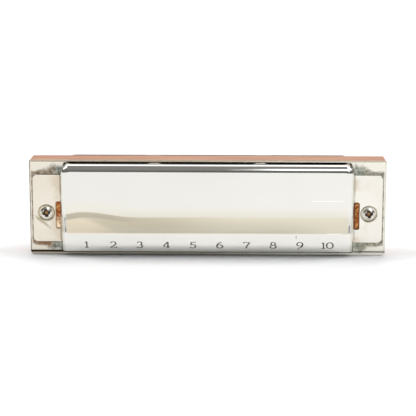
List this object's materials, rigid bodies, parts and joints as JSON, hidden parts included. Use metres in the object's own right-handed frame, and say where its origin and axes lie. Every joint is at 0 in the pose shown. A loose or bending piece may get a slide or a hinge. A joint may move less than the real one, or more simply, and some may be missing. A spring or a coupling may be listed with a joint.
{
  "type": "harmonica",
  "caption": "Diatonic harmonica with a wooden comb, plated reed plates, free brass reeds and pressed metal covers that are open at the back.",
  "frame": {"origin": "centre of the mouthpiece face, which the harmonica stands on", "axes": "+X along the holes from hole 1 to hole 10, -Y out of the numbered upper cover, +Z from the mouthpiece to the open back"},
  "size_m": [0.102, 0.0208, 0.0277],
  "materials": {
    "comb_wood": "satin lacquer on reddish pear wood",
    "plated_plate": "nickel-plated brass, lightly tarnished",
    "polished_cover": "polished stainless sheet, fine wear",
    "reed_brass": "rolled and ground brass",
    "rivet_brass": "bright brass, slightly aged",
    "screw_steel": "zinc-plated steel"
  },
  "bodies": {
    "harmonica": {"comb": "comb_wood", "upper_reed_plate": "plated_plate", "lower_reed_plate": "plated_plate", "upper_cover": "polished_cover", "lower_cover": "polished_cover", "blow_reed_roots": "reed_brass", "draw_reed_roots": "reed_brass", "blow_reed_rivets": "rivet_brass", "draw_reed_rivets": "rivet_brass", "upper_plate_nails": "rivet_brass", "lower_plate_nails": "rivet_brass", "cover_screws": "screw_steel", "cover_nuts": "screw_steel"},
    "blow_reed_1": {"blow_reed_1": "reed_brass"},
    "draw_reed_1": {"draw_reed_1": "reed_brass"},
    "blow_reed_2": {"blow_reed_2": "reed_brass"},
    "draw_reed_2": {"draw_reed_2": "reed_brass"},
    "blow_reed_3": {"blow_reed_3": "reed_brass"},
    "draw_reed_3": {"draw_reed_3": "reed_brass"},
    "blow_reed_4": {"blow_reed_4": "reed_brass"},
    "draw_reed_4": {"draw_reed_4": "reed_brass"},
    "blow_reed_5": {"blow_reed_5": "reed_brass"},
    "draw_reed_5": {"draw_reed_5": "reed_brass"},
    "blow_reed_6": {"blow_reed_6": "reed_brass"},
    "draw_reed_6": {"draw_reed_6": "reed_brass"},
    "blow_reed_7": {"blow_reed_7": "reed_brass"},
    "draw_reed_7": {"draw_reed_7": "reed_brass"},
    "blow_reed_8": {"blow_reed_8": "reed_brass"},
    "draw_reed_8": {"draw_reed_8": "reed_brass"},
    "blow_reed_9": {"blow_reed_9": "reed_brass"},
    "draw_reed_9": {"draw_reed_9": "reed_brass"},
    "blow_reed_10": {"blow_reed_10": "reed_brass"},
    "draw_reed_10": {"draw_reed_10": "reed_brass"}
  },
  "joints": [
    {"name": "blow_reed_1_flex", "type": "hinge", "parent": "harmonica", "child": "blow_reed_1", "pos_m": [-0.03429, -0.00341, 0.0199], "axis": [1, 0, 0], "range_deg": [-4, 4], "stiffness_Nm_per_rad": 0.0363},
    {"name": "draw_reed_1_flex", "type": "hinge", "parent": "harmonica", "child": "draw_reed_1", "pos_m": [-0.03429, 0.00469, 0.0068], "axis": [1, 0, 0], "range_deg": [-4, 4], "stiffness_Nm_per_rad": 0.0363},
    {"name": "blow_reed_2_flex", "type": "hinge", "parent": "harmonica", "child": "blow_reed_2", "pos_m": [-0.02667, -0.00341, 0.0191], "axis": [1, 0, 0], "range_deg": [-4, 4], "stiffness_Nm_per_rad": 0.03829},
    {"name": "draw_reed_2_flex", "type": "hinge", "parent": "harmonica", "child": "draw_reed_2", "pos_m": [-0.02667, 0.00469, 0.0068], "axis": [1, 0, 0], "range_deg": [-4, 4], "stiffness_Nm_per_rad": 0.03829},
    {"name": "blow_reed_3_flex", "type": "hinge", "parent": "harmonica", "child": "blow_reed_3", "pos_m": [-0.01905, -0.00341, 0.0183], "axis": [1, 0, 0], "range_deg": [-4, 4], "stiffness_Nm_per_rad": 0.04051},
    {"name": "draw_reed_3_flex", "type": "hinge", "parent": "harmonica", "child": "draw_reed_3", "pos_m": [-0.01905, 0.00469, 0.0068], "axis": [1, 0, 0], "range_deg": [-4, 4], "stiffness_Nm_per_rad": 0.04051},
    {"name": "blow_reed_4_flex", "type": "hinge", "parent": "harmonica", "child": "blow_reed_4", "pos_m": [-0.01143, -0.00341, 0.0175], "axis": [1, 0, 0], "range_deg": [-4, 4], "stiffness_Nm_per_rad": 0.043},
    {"name": "draw_reed_4_flex", "type": "hinge", "parent": "harmonica", "child": "draw_reed_4", "pos_m": [-0.01143, 0.00469, 0.0068], "axis": [1, 0, 0], "range_deg": [-4, 4], "stiffness_Nm_per_rad": 0.043},
    {"name": "blow_reed_5_flex", "type": "hinge", "parent": "harmonica", "child": "blow_reed_5", "pos_m": [-0.00381, -0.00341, 0.0167], "axis": [1, 0, 0], "range_deg": [-4, 4], "stiffness_Nm_per_rad": 0.04582},
    {"name": "draw_reed_5_flex", "type": "hinge", "parent": "harmonica", "child": "draw_reed_5", "pos_m": [-0.00381, 0.00469, 0.0068], "axis": [1, 0, 0], "range_deg": [-4, 4], "stiffness_Nm_per_rad": 0.04582},
    {"name": "blow_reed_6_flex", "type": "hinge", "parent": "harmonica", "child": "blow_reed_6", "pos_m": [0.00381, -0.00341, 0.0159], "axis": [1, 0, 0], "range_deg": [-4, 4], "stiffness_Nm_per_rad": 0.04904},
    {"name": "draw_reed_6_flex", "type": "hinge", "parent": "harmonica", "child": "draw_reed_6", "pos_m": [0.00381, 0.00469, 0.0068], "axis": [1, 0, 0], "range_deg": [-4, 4], "stiffness_Nm_per_rad": 0.04904},
    {"name": "blow_reed_7_flex", "type": "hinge", "parent": "harmonica", "child": "blow_reed_7", "pos_m": [0.01143, -0.00341, 0.0151], "axis": [1, 0, 0], "range_deg": [-4, 4], "stiffness_Nm_per_rad": 0.05274},
    {"name": "draw_reed_7_flex", "type": "hinge", "parent": "harmonica", "child": "draw_reed_7", "pos_m": [0.01143, 0.00469, 0.0068], "axis": [1, 0, 0], "range_deg": [-4, 4], "stiffness_Nm_per_rad": 0.05274},
    {"name": "blow_reed_8_flex", "type": "hinge", "parent": "harmonica", "child": "blow_reed_8", "pos_m": [0.01905, -0.00341, 0.0143], "axis": [1, 0, 0], "range_deg": [-4, 4], "stiffness_Nm_per_rad": 0.05704},
    {"name": "draw_reed_8_flex", "type": "hinge", "parent": "harmonica", "child": "draw_reed_8", "pos_m": [0.01905, 0.00469, 0.0068], "axis": [1, 0, 0], "range_deg": [-4, 4], "stiffness_Nm_per_rad": 0.05704},
    {"name": "blow_reed_9_flex", "type": "hinge", "parent": "harmonica", "child": "blow_reed_9", "pos_m": [0.02667, -0.00341, 0.0135], "axis": [1, 0, 0], "range_deg": [-4, 4], "stiffness_Nm_per_rad": 0.06211},
    {"name": "draw_reed_9_flex", "type": "hinge", "parent": "harmonica", "child": "draw_reed_9", "pos_m": [0.02667, 0.00469, 0.0068], "axis": [1, 0, 0], "range_deg": [-4, 4], "stiffness_Nm_per_rad": 0.06211},
    {"name": "blow_reed_10_flex", "type": "hinge", "parent": "harmonica", "child": "blow_reed_10", "pos_m": [0.03429, -0.00341, 0.0127], "axis": [1, 0, 0], "range_deg": [-4, 4], "stiffness_Nm_per_rad": 0.06817},
    {"name": "draw_reed_10_flex", "type": "hinge", "parent": "harmonica", "child": "draw_reed_10", "pos_m": [0.03429, 0.00469, 0.0068], "axis": [1, 0, 0], "range_deg": [-4, 4], "stiffness_Nm_per_rad": 0.06817}
  ]
}
